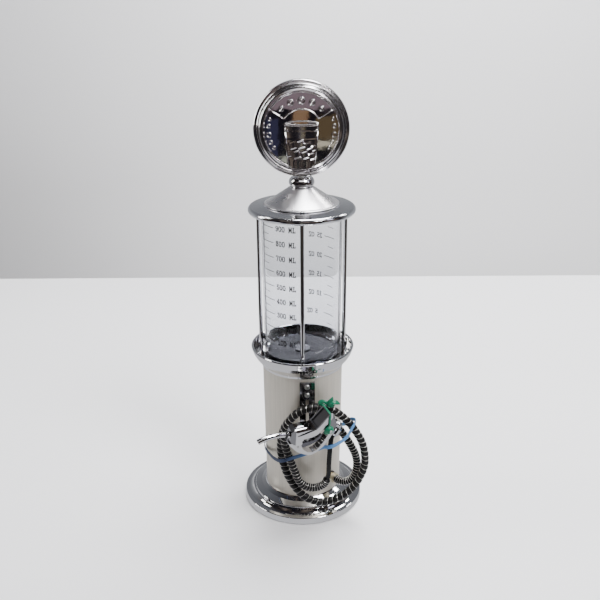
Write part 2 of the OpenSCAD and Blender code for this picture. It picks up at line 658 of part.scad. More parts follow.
// The inlet's elbow runs from the body's heel into the nut
module inlet_elbow() color(chrome) nozzle_frame() difference() {
    union() {
        translate([50.3, 0, 0.6]) rotate([0, 100, 0]) cylinder(r = 3.4, h = 3.2);
        translate([54.6, 0, -1.2]) sphere(r = 3.9);
        at_inlet() translate([0, 0, -3]) cylinder(r = 2.6, h = 3);
    }
    translate([40, -10, -10]) cube([10.2, 20, 30]);
    at_inlet() cylinder(r = 8, h = 20);
    at_inlet() translate([0, 0, -5]) cylinder(r = 1.3, h = 8);
}

module inlet_nut() color(chrome) nozzle_frame() at_inlet() translate([0, 0, 0.05]) difference() {
    union() {
        cylinder(r = 4.8, h = 6.5, $fn = 24);
        translate([0, 0, 6]) cylinder(r1 = 4.6, r2 = 3.6, h = 3);
    }
    translate([0, 0, -1]) cylinder(r = 1.3, h = 12);
}

// Place in the part of the point that is d along the inlet's axis from the top of its nut
function turn_x(v, a) = [v[0], v[1] * cos(a) - v[2] * sin(a), v[1] * sin(a) + v[2] * cos(a)];
function turn_z(v, a) = [v[0] * cos(a) - v[1] * sin(a), v[0] * sin(a) + v[1] * cos(a), v[2]];
function in_world(v) = nozzle_at + turn_z(turn_x(v, nozzle_turn[0]), nozzle_turn[2]);
function inlet_point(d) = in_world([inlet_at[0] + d * sin(inlet_tilt), 0, inlet_at[1] - d * cos(inlet_tilt)]);

module hose_tail() color(rubber)
    swept(concat(tail_route, [inlet_point(13), inlet_point(9.4)]), round_section(tail_d, 8), u0 = [1, 0, 0]);

module valve_gland() color(brass) nozzle_frame() translate([stem_x, 0, 0]) difference() {
    union() {
        translate([0, 0, -6.5]) cylinder(r = 4, h = 5, $fn = 6);
        translate([0, 0, -1.6]) cylinder(r = chamber_r, h = 1.8);
    }
    translate([0, 0, -10]) cylinder(r = stem_r + fit, h = 20);
}

module valve_stem() color(steel) nozzle_frame() translate([stem_x, 0, 0]) {
    translate([0, 0, stem_foot_z]) cylinder(r = stem_r, h = 1.6 - stem_foot_z);
}

module valve_seal() color(rubber) nozzle_frame() translate([stem_x, 0, 0.4]) ring(stem_r, chamber_r - 0.2, 1.2);

// A short coil between the seal and the top of the chamber
module valve_spring() color(steel) nozzle_frame() translate([stem_x, 0, 0])
    swept([for (i = [0:28]) [2.2 * cos(30 * i), 2.2 * sin(30 * i), 2 + (chamber_top - 2.4) * i / 28]],
        round_section(0.6, 6));

module trigger_pin() color(steel) nozzle_frame() translate([pin_at[0], -guard_w / 2 - 0.4, pin_at[1]])
    rotate([-90, 0, 0]) cylinder(r = pin_r, h = guard_w + 0.8);

module trigger_lever() color(steel) nozzle_frame() difference() {
    union() {
        side_plate(trigger_w) polygon([[4.5, -17.1], [9, -18.4], [14, -18.6], [20, -17.6], [26, -15.6], [31.6, -11.6],
            [33.8, -7.6], [32.6, -6.6], [29.4, -9.8], [24, -12.4], [stem_x + 3, -12.7], [stem_x - 3, -12.7],
            [8, -12.4], [4.5, -11.9]]);
        translate([pin_at[0], -trigger_w / 2, pin_at[1]]) rotate([-90, 0, 0]) cylinder(r = 2.6, h = trigger_w);
    }
    translate([pin_at[0], -10, pin_at[1]]) rotate([-90, 0, 0]) cylinder(r = pin_r + fit, h = 20);
}

// Tie round the handle
module handle_tie() color(tie_green) nozzle_frame() swept([
    [38, -9.9, 0.4], [38, -9.7, 10], [38, -9.7, 22.4], [38, -8.6, 23.9], [38, 0, 24.1],
    [38, 8.6, 23.9], [38, 9.7, 22.4], [38, 9.7, 10], [38, 9.9, 0.4], [37.8, 9.3, -2.2],
    [37.8, 0, -2.3], [37.8, -9.3, -2.2]],
    round_section(2 * tie_r, 8), closed = true, u0 = [1, 0, 0]);

base_pad();
base_plate();
ballast();
base_skirt();
base_screws();
column_bulkhead();
column();
dish();
reservoir_seat();
lower_gasket();
reservoir_tube();
upper_gasket();
tie_rods();
rod_nuts();
lid();
filler_neck();
cap_seal();
cone_cap();
cap_guide();
cap_nut();
globe_stud();
globe_neck();
globe_boss();
globe_front();
globe_back();
globe_screws();
globe_emblem();
drain_fitting();
drain_washer();
drain_nut();
inner_hose();
inner_hose_clips();
outlet_fitting();
outlet_washer();
outlet_nut();
hose_ferrule();
hose();
hose_tail();
hose_hook();
hook_screws();
rubber_band();
twist_tie();
nozzle_body();
trigger_guard();
spout_collar();
spout_ring();
spout();
inlet_elbow();
inlet_nut();
valve_gland();
valve_spring();
trigger_pin();
handle_tie();
trigger_lever();
valve_stem();
valve_seal();
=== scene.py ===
import math

import bmesh
import bpy
import numpy as np
from mathutils import Matrix, Vector


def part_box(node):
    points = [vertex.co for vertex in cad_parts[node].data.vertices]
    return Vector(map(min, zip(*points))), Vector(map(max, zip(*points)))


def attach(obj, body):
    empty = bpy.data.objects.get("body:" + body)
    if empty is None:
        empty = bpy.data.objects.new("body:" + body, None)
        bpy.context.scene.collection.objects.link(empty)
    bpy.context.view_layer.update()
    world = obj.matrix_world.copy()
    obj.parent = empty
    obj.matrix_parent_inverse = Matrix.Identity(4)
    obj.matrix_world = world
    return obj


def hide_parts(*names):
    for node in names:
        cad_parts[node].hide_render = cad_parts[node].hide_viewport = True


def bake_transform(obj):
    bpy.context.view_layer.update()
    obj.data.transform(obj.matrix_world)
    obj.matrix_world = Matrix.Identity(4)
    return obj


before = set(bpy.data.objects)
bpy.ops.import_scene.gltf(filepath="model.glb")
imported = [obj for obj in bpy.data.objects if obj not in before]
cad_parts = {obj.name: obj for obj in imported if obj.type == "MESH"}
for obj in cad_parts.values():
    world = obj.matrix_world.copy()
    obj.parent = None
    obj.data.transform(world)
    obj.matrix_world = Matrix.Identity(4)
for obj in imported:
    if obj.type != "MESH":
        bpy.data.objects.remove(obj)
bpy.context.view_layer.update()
MM = 0.001

# The camera: in front and a little above the globe, looking down at the whole dispenser
CAMERA_AT = (-0.0025, -0.8434, 0.5852)
CAMERA_DOWN = 21.5
CAMERA_ROLL = 0.35
CAMERA_LENS = 48.24

# The routes of the hose, its bare tail and the rubber band, in mm, as in part.scad. Here the tail's
# route also has the point where the sleeve ends.
HOSE_ROUTE = [
    (36.6, -34.1, 40), (42.4, -39.6, 40), (49.3, -43.9, 41.5), (55.7, -46, 46), (60, -46.3, 53),
    (62.1, -45.7, 61.4), (62, -45.3, 70.6), (59.6, -45.8, 81), (54, -48, 94), (47, -50, 107), (38, -52, 121),
    (29, -53, 134), (19.3, -53, 141.4), (8, -53, 143.4), (-3, -53, 139.9), (-13, -53, 131),
    (-21, -53, 119), (-25, -52, 102), (-25, -52, 84), (-21, -54, 67), (-15, -57, 53),
    (-6, -60, 40), (5, -62, 31), (18, -62, 26), (32, -61, 27), (46, -59, 33),
    (57, -57, 42), (65, -56, 55), (70, -56, 70), (70, -57, 87), (66, -58, 104),
    (58, -58.5, 119), (48, -58, 132), (37, -58.5, 142), (24, -60.5, 149), (10, -62.7, 150),
    (-2, -63, 146), (-12, -63, 138), (-19, -63, 125), (-21, -63, 109), (-18, -63, 94),
    (-13.6, -63, 80), (-9.6, -63, 68.4), (-5.9, -63, 57.8), (-1.7, -63, 51.3), (4.3, -63, 47.3),
    (11, -63, 46), (18.4, -63.2, 47.6), (24.2, -63.6, 52.2), (27, -64.2, 58.2)]
TAIL_ROUTE = [
    (27, -64.2, 58.2), (28.2, -64.8, 62.4), (28.8, -66.2, 68.5), (28.8, -68.2, 76), (29, -70, 85),
    (29.5, -70.6, 96), (30.2, -70.3, 106)]
BAND_ROUTE = [
    (-46.3, 0, 67), (-44.4, -16, 69), (-38, -36, 73), (-32, -54, 79), (-24, -69, 86),
    (-12, -71, 91), (4, -70, 96), (16, -69.5, 101), (23, -71, 105), (29, -77, 108.5),
    (37, -77, 112), (48, -71, 117), (54, -66, 125), (58, -61, 129.5), (58.5, -55, 130), (55, -48, 127),
    (50, -36, 118), (50.5, -12, 100)]
BAND_ROUTE += [(46.3 * math.cos(a), 46.3 * math.sin(a), 66 + 20 * (1 - i / 9) ** 2)
               for i in range(10) for a in [math.radians(14 + 16.8 * i)]]
TUBE_D = 5.5 * MM  # the black tube inside the sleeve
SLEEVE_R = 4.5 * MM
WIRE_R = 0.21 * MM
WIRE_LIFT = 0.4 * MM  # from the floor of the valley in the sleeve up to the wire's middle
VALLEY = 0.8 * MM  # the valley's full depth
OPEN_PITCH = 6 * MM  # how far apart the wire's turns are where the valley has that depth
BAND_WIDTH = 4.2 * MM
BAND_THICK = 0.9 * MM
TIE_THICK = 0.35 * MM
# The nozzle's own frame, as in part.scad: +x from the spout to the handle, +z up
NOZZLE = (Matrix.Translation(Vector((-10.4, -92.2, 133.4)) * MM)
          @ Matrix.Rotation(math.radians(25), 4, "Z") @ Matrix.Rotation(math.radians(8), 4, "X"))
INLET_AT = (54.5, -6)
INLET_TILT = math.radians(-33)
BAR_INSIDE = 7.5 * MM  # from the nozzle's middle to the inner side of its two bars, inside which the plate has painted shade


def on_nozzle(x, y, z):
    """A point given in the nozzle's frame in mm, as a world point in mm."""
    return tuple(NOZZLE @ (Vector((x, y, z)) * MM) / MM)


def inlet_point(d):
    """The point d mm down the inlet's axis, as a world point in mm."""
    return on_nozzle(INLET_AT[0] + d * math.sin(INLET_TILT), 0, INLET_AT[1] - d * math.cos(INLET_TILT))


TAIL_ROUTE += [inlet_point(13), inlet_point(9.4)]


# Materials -------------------------------------------------------------------
NOISE_SPAN = (0.3, 0.7)  # most of a noise texture's values lie in this range
WAVES = 0.0008  # bump heights, in metres
GRAIN = 0.0002
FOOT_FADE = (0.20, 0.34)  # the heights between which the clear tube's grey foot fades out
BAND_FADE = (-40 * MM, 65 * MM)  # the places, left to right, between which the band turns pale
GLOBE_FADE = (37 * MM, 40 * MM)  # the radii between which the globe's mirror gives way to its rings


class Mat:
    """A procedural material: a Principled shader with its nodes built by short calls.

    Inputs are given by name, with an underscore for each space.
    """

    def __init__(self, name, **inputs):
        self.material = bpy.data.materials.new(name)
        self.material.use_nodes = True
        self.nodes, self.links = self.material.node_tree.nodes, self.material.node_tree.links
        self.nodes.clear()
        out = self.nodes.new("ShaderNodeOutputMaterial")
        self.shader = self.nodes.new("ShaderNodeBsdfPrincipled")
        self.links.new(self.shader.outputs[0], out.inputs[0])
        for key, value in inputs.items():
            self.shader.inputs[key.replace("_", " ")].default_value = value
        self.coords = self.nodes.new("ShaderNodeTexCoord").outputs["Object"]

    def feed(self, socket, value):
        """Link the socket to another one, or set it to a constant."""
        if isinstance(value, bpy.types.NodeSocket):
            self.links.new(value, socket)
        else:
            socket.default_value = value

    def put(self, kind, **inputs):
        node = self.nodes.new(kind)
        for key, value in inputs.items():
            self.feed(node.inputs[key.replace("_", " ")], value)
        return node

    def maths(self, kind, operation, *values):
        """A node whose inputs go by their order."""
        node = self.nodes.new(kind)
        node.operation = operation
        for socket, value in zip(node.inputs, values):
            self.feed(socket, value)
        return node

    def noise(self, scale, detail=3.0, stretch=(1, 1, 1)):
        spread = self.put("ShaderNodeMapping", Vector=self.coords, Scale=stretch)
        return self.put("ShaderNodeTexNoise", Vector=spread.outputs[0], Scale=scale,
                        Detail=detail).outputs["Fac"]

    def ramp(self, fac, low, high, start=0.0, end=1.0):
        """A colour that goes from low to high while fac goes from start to end."""
        node = self.put("ShaderNodeValToRGB", Fac=fac)
        for stop, at, value in zip(node.color_ramp.elements, (start, end), (low, high)):
            stop.position = at
            stop.color = (*value, 1)
        return node.outputs[0]

    def span(self, value, low, high, from_low=0.0, from_high=1.0):
        """A number that goes from low to high while the value goes from from_low to from_high."""
        node = self.put("ShaderNodeMapRange", Value=value)
        for key, number in (("From Min", from_low), ("From Max", from_high),
                            ("To Min", low), ("To Max", high)):
            node.inputs[key].default_value = number
        return node.outputs[0]

    def mix(self, fac, a, b):
        node = self.nodes.new("ShaderNodeMix")
        node.data_type = "RGBA"
        for socket, value in zip([s for s in node.inputs if s.enabled], (fac, a, b)):
            self.feed(socket, (*value, 1) if isinstance(value, tuple) else value)
        return [s for s in node.outputs if s.enabled][0]

    def bump(self, height, strength, distance):
        node = self.put("ShaderNodeBump", Height=height, Strength=strength, Distance=distance)
        self.links.new(node.outputs[0], self.shader.inputs["Normal"])

    def drive(self, **sockets):
        for key, value in sockets.items():
            self.links.new(value, self.shader.inputs[key.replace("_", " ")])


def chrome(name, tint=(0.86, 0.86, 0.87), rough=(0.035, 0.10), bump=0.03):
    """Bright plate: nearly a mirror, with faint polishing haze and slight waviness."""
    m = Mat(name, Metallic=1.0)
    haze = m.noise(60, 4)
    m.drive(Base_Color=m.ramp(m.noise(25, 3), [0.94 * c for c in tint], tint, *NOISE_SPAN),
            Roughness=m.span(haze, *rough, *NOISE_SPAN))
    m.bump(m.noise(110, 2), bump, WAVES)
    return m.material


def steel(name, tint, rough, grain, scale, bump=0.05, metal=1.0):
    """Drawn or brushed steel, its grain stretched along one axis."""
    m = Mat(name, Metallic=metal)
    streak = m.noise(scale, 3, grain)
    m.drive(Base_Color=m.ramp(streak, [0.88 * c for c in tint], tint, *NOISE_SPAN),
            Roughness=m.span(streak, *rough, *NOISE_SPAN))
    m.bump(streak, bump, GRAIN)
    return m.material


def painted(name, colour, rough, grain=700, bump=0.08, **inputs):
    """Moulded or painted surface with a fine texture and slight mottling."""
    m = Mat(name, **inputs)
    m.drive(Base_Color=m.ramp(m.noise(40, 4), [0.85 * c for c in colour], colour, *NOISE_SPAN),
            Roughness=m.span(m.noise(grain / 4, 3), *rough, *NOISE_SPAN))
    m.bump(m.noise(grain, 2), bump, GRAIN)
    return m.material


def clear(name, tint, ior, rough=0.02, foot=None):
    """Clear plastic; foot is a greyer tint that it has low down, fading out higher up."""
    m = Mat(name, Transmission_Weight=1.0, IOR=ior)
    colour = m.ramp(m.noise(30, 2), [0.985 * c for c in tint], tint)
    if foot:
        height = m.put("ShaderNodeSeparateXYZ", Vector=m.coords).outputs[2]
        colour = m.mix(m.span(height, 0.0, 1.0, *FOOT_FADE), foot, colour)
    m.drive(Base_Color=colour, Roughness=m.span(m.noise(80, 3), 0.0, rough))
    return m.material


CHROME = chrome("bright_chrome")
# Painted reflection: the bright plate darkened for the hook, standing for the dark that its plate mirrors
CHROME_HOOK_DARKENED = chrome("hook_chrome_painted_reflection", (0.42, 0.42, 0.44), (0.08, 0.18))
WIRE = steel("sleeve_wire", (0.92, 0.90, 0.86), (0.28, 0.4), (1, 1, 1), 300, 0.02)
# Painted shade: the bright plate made near black for the seat on the floor of the tube, which lies in shade
CHROME_FLOOR_SHADED = chrome("reservoir_floor_painted_shade", (0.035, 0.035, 0.042), (0.05, 0.14), 0.1)
CHROME_CONE = chrome("cone_chrome", (0.94, 0.92, 0.94), (0.26, 0.31), 0.005)
CHROME_RIDGE = chrome("ridge_chrome", (0.95, 0.93, 0.93), (0.10, 0.18), 0.01)
# Painted shade: the bright plate darkened for the lever, which lies in shade inside the guard, and for the
# drain fitting low in the tube
CHROME_LEVER_SHADED = chrome("lever_chrome_painted_shade", (0.17, 0.17, 0.19), (0.05, 0.14))
SATIN = steel("satin_column", (0.71, 0.67, 0.585), (0.34, 0.44), (1, 1, 0.02), 500, 0.04, 0.55)
ZINC = steel("zinc_plate", (0.62, 0.62, 0.60), (0.25, 0.4), (1, 1, 1), 400)
BRASS = steel("turned_brass", (0.80, 0.66, 0.40), (0.2, 0.35), (1, 1, 1), 500)
PALE_BRASS = steel("pale_brass", (0.86, 0.78, 0.58), (0.25, 0.4), (1, 1, 1), 500)
LID_TOP = chrome("lid_chrome", (0.90, 0.91, 0.94), (0.10, 0.16))
BLACK_RUBBER = painted("black_rubber", (0.02, 0.02, 0.02), (0.45, 0.65))
DARK_PLASTIC = painted("dark_moulding", (0.10, 0.10, 0.105), (0.3, 0.5))
IRON = painted("painted_iron", (0.07, 0.07, 0.07), (0.5, 0.7), 300, 0.3)
SLEEVE = painted("black_sleeve", (0.006, 0.0055, 0.005), (0.30, 0.42), 900, 0.12, Specular_IOR_Level=0.35)
TUBE = painted("black_tube", (0.004, 0.004, 0.004), (0.14, 0.22), 300, 0.02, Specular_IOR_Level=0.25)
GREEN = painted("green_tie", (0.003, 0.17, 0.085), (0.25, 0.4), 500, 0.1)
ACRYLIC = clear("clear_acrylic", (0.86, 0.87, 0.885), 1.2, foot=(0.72, 0.73, 0.76))
VINYL = clear("clear_vinyl", (0.90, 0.92, 0.86), 1.4, 0.2)
PRINT = painted("scale_print", (0.012, 0.012, 0.014), (0.4, 0.6), 500, 0.05)


def band_material():
    """Blue elastic: navy on the left, turning pale on the right, where it passes over the hose."""
    m = Mat("blue_band")
    place = m.put("ShaderNodeSeparateXYZ", Vector=m.coords).outputs[0]
    along = m.span(place, 0.0, 1.0, *BAND_FADE)
    fine = m.noise(900, 2)
    blue = m.ramp(along, (0.006, 0.020, 0.070), (0.080, 0.24, 0.52), 0.2, 0.75)
    m.drive(Base_Color=m.mix(m.span(fine, 0.0, 0.25, 0.4, 0.7), blue, (0.03, 0.085, 0.22)),
            Roughness=m.span(fine, 0.45, 0.65))
    m.bump(fine, 0.15, GRAIN)
    return m.material


BAND = band_material()


def nozzle_material():
    """Bright plate on the outside of the two bars, and painted shade between them: the same plate darkened
    where it lies back in shadow.
    """
    m = Mat("nozzle_chrome_painted_shade", Metallic=1.0)
    across = NOZZLE.inverted()[1]  # turns a world point into its distance across the nozzle
    side = m.maths("ShaderNodeVectorMath", "DOT_PRODUCT", m.coords, across[:3])
    off = m.maths("ShaderNodeMath", "ADD", side.outputs["Value"], across[3])
    away = m.maths("ShaderNodeMath", "ABSOLUTE", off.outputs[0])
    # painted shade: 1 between the bars, where the plate is darkened to stand for shadow, 0 outside them
    shade_between_bars = m.span(away.outputs[0], 1.0, 0.0, BAR_INSIDE, BAR_INSIDE + 0.3 * MM)
    haze = m.noise(60, 4)
    plate = m.ramp(haze, (0.80, 0.80, 0.82), (0.90, 0.90, 0.91), *NOISE_SPAN)
    # painted shade: the plate between the bars takes the dark colour
    m.drive(Base_Color=m.mix(shade_between_bars, plate, (0.30, 0.30, 0.31)),
            Roughness=m.span(haze, 0.05, 0.14, *NOISE_SPAN))
    m.bump(m.noise(110, 2), 0.03, WAVES)
    return m.material


CHROME_NOZZLE = nozzle_material()


def globe_material():
    """A mirror in the flat middle of the globe's face, softer on the turned rings round it."""
    m = Mat("globe_chrome", Metallic=1.0)
    low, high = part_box("globe_front")
    flat = m.maths("ShaderNodeVectorMath", "MULTIPLY", m.coords, (1, 0, 1))
    away = m.maths("ShaderNodeVectorMath", "DISTANCE", flat.outputs[0], (0, 0, (low[2] + high[2]) / 2))
    rim = m.span(away.outputs["Value"], 0.0, 1.0, *GLOBE_FADE)
    haze = m.span(m.noise(60, 4), 0.015, 0.05, *NOISE_SPAN)
    m.drive(Base_Color=m.mix(rim, (0.80, 0.78, 0.80), (0.95, 0.93, 0.95)),
            Roughness=m.mix(rim, haze, (0.17, 0.17, 0.17)))
    m.bump(m.noise(110, 2), 0.02, WAVES)
    return m.material


CHROME_GLOBE = globe_material()

NODE_LOOKS = {
    CHROME: ["base_skirt", "dish", "globe_neck", "tie_rods", "rod_nuts",
             "trigger_guard", "spout_collar", "spout", "inlet_elbow", "inlet_nut"],
    CHROME_NOZZLE: ["nozzle_body"],
    CHROME_CONE: ["cone_cap"],
    CHROME_LEVER_SHADED: ["trigger_lever", "drain_fitting"],
    LID_TOP: ["lid"],
    CHROME_GLOBE: ["globe_front", "globe_back"],
    CHROME_HOOK_DARKENED: ["hose_hook"],
    CHROME_FLOOR_SHADED: ["reservoir_seat"],
    SATIN: ["column"],
    ZINC: ["base_plate", "base_screws", "column_bulkhead", "cap_nut", "globe_stud", "globe_boss",
           "globe_screws", "inner_hose_clips", "hook_screws", "valve_spring", "trigger_pin",
           "valve_stem"],
    BRASS: ["drain_nut", "outlet_fitting", "outlet_nut", "valve_gland"],
    PALE_BRASS: ["hose_ferrule"],
    BLACK_RUBBER: ["base_pad", "lower_gasket", "upper_gasket", "cap_seal", "drain_washer",
                   "outlet_washer", "spout_ring", "valve_seal"],
    DARK_PLASTIC: ["filler_neck", "cap_guide"],
    IRON: ["ballast"],
    ACRYLIC: ["reservoir_tube"],
    VINYL: ["inner_hose"],
}

for material, names in NODE_LOOKS.items():
    for name in names:
        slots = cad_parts[name].data.materials
        slots.clear()
        slots.append(material)


# Shapes ----------------------------------------------------------------------

def smooth_line(points, step, closed=False):
    """A smooth curve through the points, as points at equal steps along it."""
    p = np.array(points, float) * MM
    n = len(p)
    rows = []
    for i in range(n if closed else n - 1):
        if closed:
            a, b, c, d = (p[(i + k) % n] for k in (-1, 0, 1, 2))
        else:
            b, c = p[i], p[i + 1]
            a = p[i - 1] if i else 2 * b - c
            d = p[i + 2] if i + 2 < n else 2 * c - b
        t = np.linspace(0, 1, 40, endpoint=False)[:, None]
        rows.append(0.5 * (2 * b + (c - a) * t + (2 * a - 5 * b + 4 * c - d) * t ** 2
                           + (3 * b - a - 3 * c + d) * t ** 3))
    rows.append(p[:1] if closed else p[-1:])
    dense = np.concatenate(rows)
    run = np.concatenate([[0], np.cumsum(np.linalg.norm(np.diff(dense, axis=0), axis=1))])
    count = max(2, int(round(run[-1] / step)) + 1)
    at = np.linspace(0, run[-1], count)
    line = np.stack([np.interp(at, run, dense[:, k]) for k in range(3)], axis=1)
    return (line[:-1] if closed else line), run[-1]


def unit(rows):
    """Each row scaled to length one."""
    return rows / np.linalg.norm(rows, axis=1)[:, None]


def tangents(line, closed=False):
    return unit(np.roll(line, -1, 0) - np.roll(line, 1, 0) if closed else np.gradient(line, axis=0))


def frames(line):
    """Side and up at each point of an open line, without twist."""
    ahead = tangents(line)
    ups = np.zeros_like(line)
    up = np.array([0.0, 0.0, 1.0])
    for i in range(len(line)):
        up = up - ahead[i] * (up @ ahead[i])
        up /= np.linalg.norm(up)
        ups[i] = up
    return np.cross(ahead, ups), ups


def finish_object(name, mesh, bm, material, smooth=True):
    """Fill the mesh from the bmesh, with its faces turned outwards, and make it an object."""
    bmesh.ops.recalc_face_normals(bm, faces=bm.faces)
    bm.to_mesh(mesh)
    bm.free()
    mesh.polygons.foreach_set("use_smooth", [smooth] * len(mesh.polygons))
    mesh.materials.append(material)
    obj = bpy.data.objects.new(name, mesh)
    bpy.context.collection.objects.link(obj)
    return obj


def mesh_object(name, verts, faces, material, smooth=True):
    """An object made from lists of points and faces."""
    mesh = bpy.data.meshes.new(name)
    mesh.from_pydata([tuple(v) for v in verts], [], faces)
    mesh.validate()
    bm = bmesh.new()
    bm.from_mesh(mesh)
    return finish_object(name, mesh, bm, material, smooth)


def ring_faces(count, sides, closed, base=0):
    """The quads between that many rings, numbered on from base, and the two caps of an open run."""
    faces = [(base + i * sides + k, base + i * sides + (k + 1) % sides,
              base + (i + 1) % count * sides + (k + 1) % sides, base + (i + 1) % count * sides + k)
             for i in range(count if closed else count - 1) for k in range(sides)]
    if not closed:
        last = base + (count - 1) * sides
        faces += [tuple(range(base, base + sides))[::-1], tuple(range(last, last + sides))]
    return faces


def sweep(name, line, radius, material, sides):
    """A round tube along an open line; radius is one number, or one for each point and side."""
    side, up = frames(line)
    r = np.broadcast_to(radius, (len(line), sides))
    angle = np.linspace(0, 2 * math.pi, sides, endpoint=False)
    rings = line[:, None] + r[..., None] * (np.cos(angle)[None, :, None] * side[:, None]
                                            + np.sin(angle)[None, :, None] * up[:, None])
    return mesh_object(name, rings.reshape(-1, 3), ring_faces(len(line), sides, False), material)


# The hose: a black tube in a bulging black sleeve, with a wire wound along it
hose_line, hose_length = smooth_line(HOSE_ROUTE, 0.5 * MM)
tube_line, tube_length = smooth_line(HOSE_ROUTE, 2 * MM)
tail_line, tail_length = smooth_line(TAIL_ROUTE, 1.5 * MM)
run = np.linspace(0, hose_length, len(hose_line))
# The wire's turns lie close at both ends of the hose and open out between them
pitch = np.interp(run, [0, 0.022, 0.06, 0.12, 0.34, 0.50, 0.58, hose_length],
                  np.array([2.6, 2.8, 4.0, 5.4, 6.4, 5.8, 4.4, 2.6]) * MM)
turns = np.concatenate([[0], np.cumsum(np.diff(run) / pitch[:-1])])
valley = np.clip(pitch / OPEN_PITCH, 0.4, 1) * VALLEY


def wound_sleeve():
    """The sleeve's wall, pulled in where the wire lies, so the valley winds with the wire."""
    sides = 28
    angle = np.linspace(0, 2 * math.pi, sides, endpoint=False)
    near = 0.5 + 0.5 * np.cos(2 * math.pi * turns[:, None] - angle[None, :])
    return sweep("hose_sleeve", hose_line, SLEEVE_R - valley[:, None] * near ** 4, SLEEVE, sides)


def wire_line():
    """The wire's own line, winding round the hose in the sleeve's valley."""
    steps_in_turn = 22
    at = np.linspace(0, turns[-1], int(turns[-1] * steps_in_turn))

    def there(rows):
        return np.stack([np.interp(at, turns, rows[:, k]) for k in range(3)], axis=1)

    side, up = frames(hose_line)
    a = 2 * math.pi * at[:, None]
    r = SLEEVE_R - np.interp(at, turns, valley)[:, None] + WIRE_LIFT
    return there(hose_line) + r * (np.cos(a) * there(side) + np.sin(a) * there(up))


tube = sweep("hose_tube", tube_line, TUBE_D / 2, TUBE, 16)
sleeve = wound_sleeve()
wire = sweep("hose_wire", wire_line(), WIRE_R, WIRE, 6)
tail = sweep("tail_tube", tail_line, TUBE_D / 2, TUBE, 20)
for piece in (tube, sleeve, wire):
    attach(piece, "stand")
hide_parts("hose")
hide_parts("hose_tail")
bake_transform(tail)


def flat_band(name, points, material):
    """The rubber band: flat, closed, standing on its edge against what it passes."""
    line, _ = smooth_line(points, 2 * MM, closed=True)
    ahead = tangents(line, closed=True)
    lift = unit(np.array([0, 0, 1.0]) - ahead * ahead[:, 2:])
    out = np.cross(ahead, lift)
    section = [(-1, -0.6), (-0.85, -1), (0.85, -1), (1, -0.6), (1, 0.6), (0.85, 1), (-0.85, 1), (-1, 0.6)]
    rings = np.stack([line + (a * BAND_WIDTH / 2 * lift + b * BAND_THICK / 2 * out) for a, b in section],
                     axis=1)
    return mesh_object(name, rings.reshape(-1, 3), ring_faces(len(line), len(section), True), material)


band = flat_band("rubber_loop", BAND_ROUTE, BAND)
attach(band, "stand")
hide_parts("rubber_band")


def strip_rings(points, widths, lean, closed):
    """The rings of a twist tie: a paper-thin strip with a wire ridge down its middle.

    widths, in mm, and lean, the directions that its broad face looks in, are spread evenly along it.
    """
    line, _ = smooth_line(points, 0.7 * MM, closed)
    run = np.linspace(0, 1, len(line))
    ahead = tangents(line, closed)
    leans = np.stack([np.interp(run, np.linspace(0, 1, len(lean)), [v[k] for v in lean])
                      for k in range(3)], axis=1)
    out = unit(leans - ahead * np.sum(leans * ahead, axis=1)[:, None])
    across = np.cross(ahead, out)
    half = np.interp(run, np.linspace(0, 1, len(widths)), widths)[:, None] * MM / 2
    section = [(-1, 0.5), (-0.95, 1), (-0.3, 1), (0, 2.4), (0.3, 1), (0.95, 1), (1, 0.5), (0.95, -1),
               (0.3, -1), (0, -2.4), (-0.3, -1), (-0.95, -1)]
    return np.stack([line + a * half * across + b * (TIE_THICK / 2) * out for a, b in section], axis=1)


def strips(name, parts, material):
    """Several strips as one mesh: (points, widths, lean, closed) each."""
    verts, faces, base = [], [], 0
    for points, widths, lean, closed in parts:
        rings = strip_rings(points, widths, lean, closed)
        count, sides = rings.shape[:2]
        faces += ring_faces(count, sides, closed, base)
        verts.append(rings.reshape(-1, 3))
        base += count * sides
    return mesh_object(name, np.concatenate(verts), faces, material)


# The first tie goes round the hose and the hook, and its ends are twisted into a bow
ring = [(25, -46.7, 141), (25, -46.9, 133.5), (25.5, -53, 128.4), (26, -59.6, 132),
        (26.5, -62.6, 140.8), (27, -66.2, 145), (27.5, -66.6, 150), (27.5, -64, 154.2), (27, -58, 155.2),
        (26, -51, 150.2), (25.5, -47, 146)]
ring_lean = [(0, 1, 0), (0, 0.8, -0.6), (0, 0.2, -1), (0, -0.7, -0.7), (0, -0.7, -0.7), (0, -0.9, -0.4),
             (0, -1, 0.3), (0, -0.6, 1), (0, 0, 1), (0, 0.6, 1), (0, 1, 0.3), (0, 1, 0)]
bow = strips("green_bow", [
    (ring, [2.2], ring_lean, True),
    ([(27.5, -64.6, 155.4), (25.6, -64.8, 157.6), (22, -64.4, 158.8), (18.6, -64, 157.6),
      (18, -64.2, 155.6), (21.5, -65, 154.6), (25.4, -65.2, 154.8)], [3, 4.4, 3],
     [(0, -1, 0.4), (0, -0.9, 0.6), (-1, -0.6, 0.2), (0, -1, -0.2)], False),
    ([(27.4, -64.8, 155.6), (29.4, -64.8, 158.4), (31.6, -64, 161), (32.6, -63, 163.8)],
     [2, 5.4, 4.6, 0.6], [(0.4, -1, 0.2), (0.2, -1, 0.1)], False),
    ([(27.6, -64.9, 155.2), (31, -65.2, 157.2), (35, -64.6, 157.8), (38.6, -63.8, 156.2),
      (41, -62.6, 154.2)],
     [2, 4.6, 5.6, 4.2, 0.8], [(0, -1, 0.6), (0.1, -0.8, 0.9), (0.2, -0.9, 0.6)], False),
    ([(27.4, -65, 155), (29, -65.6, 154.4), (32, -65.4, 153.4), (35, -64.4, 154)],
     [2, 3.8, 3.2, 0.8], [(0, -1, 0), (0, -1, 0.3)], False)], GREEN)
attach(bow, "stand")
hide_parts("twist_tie")

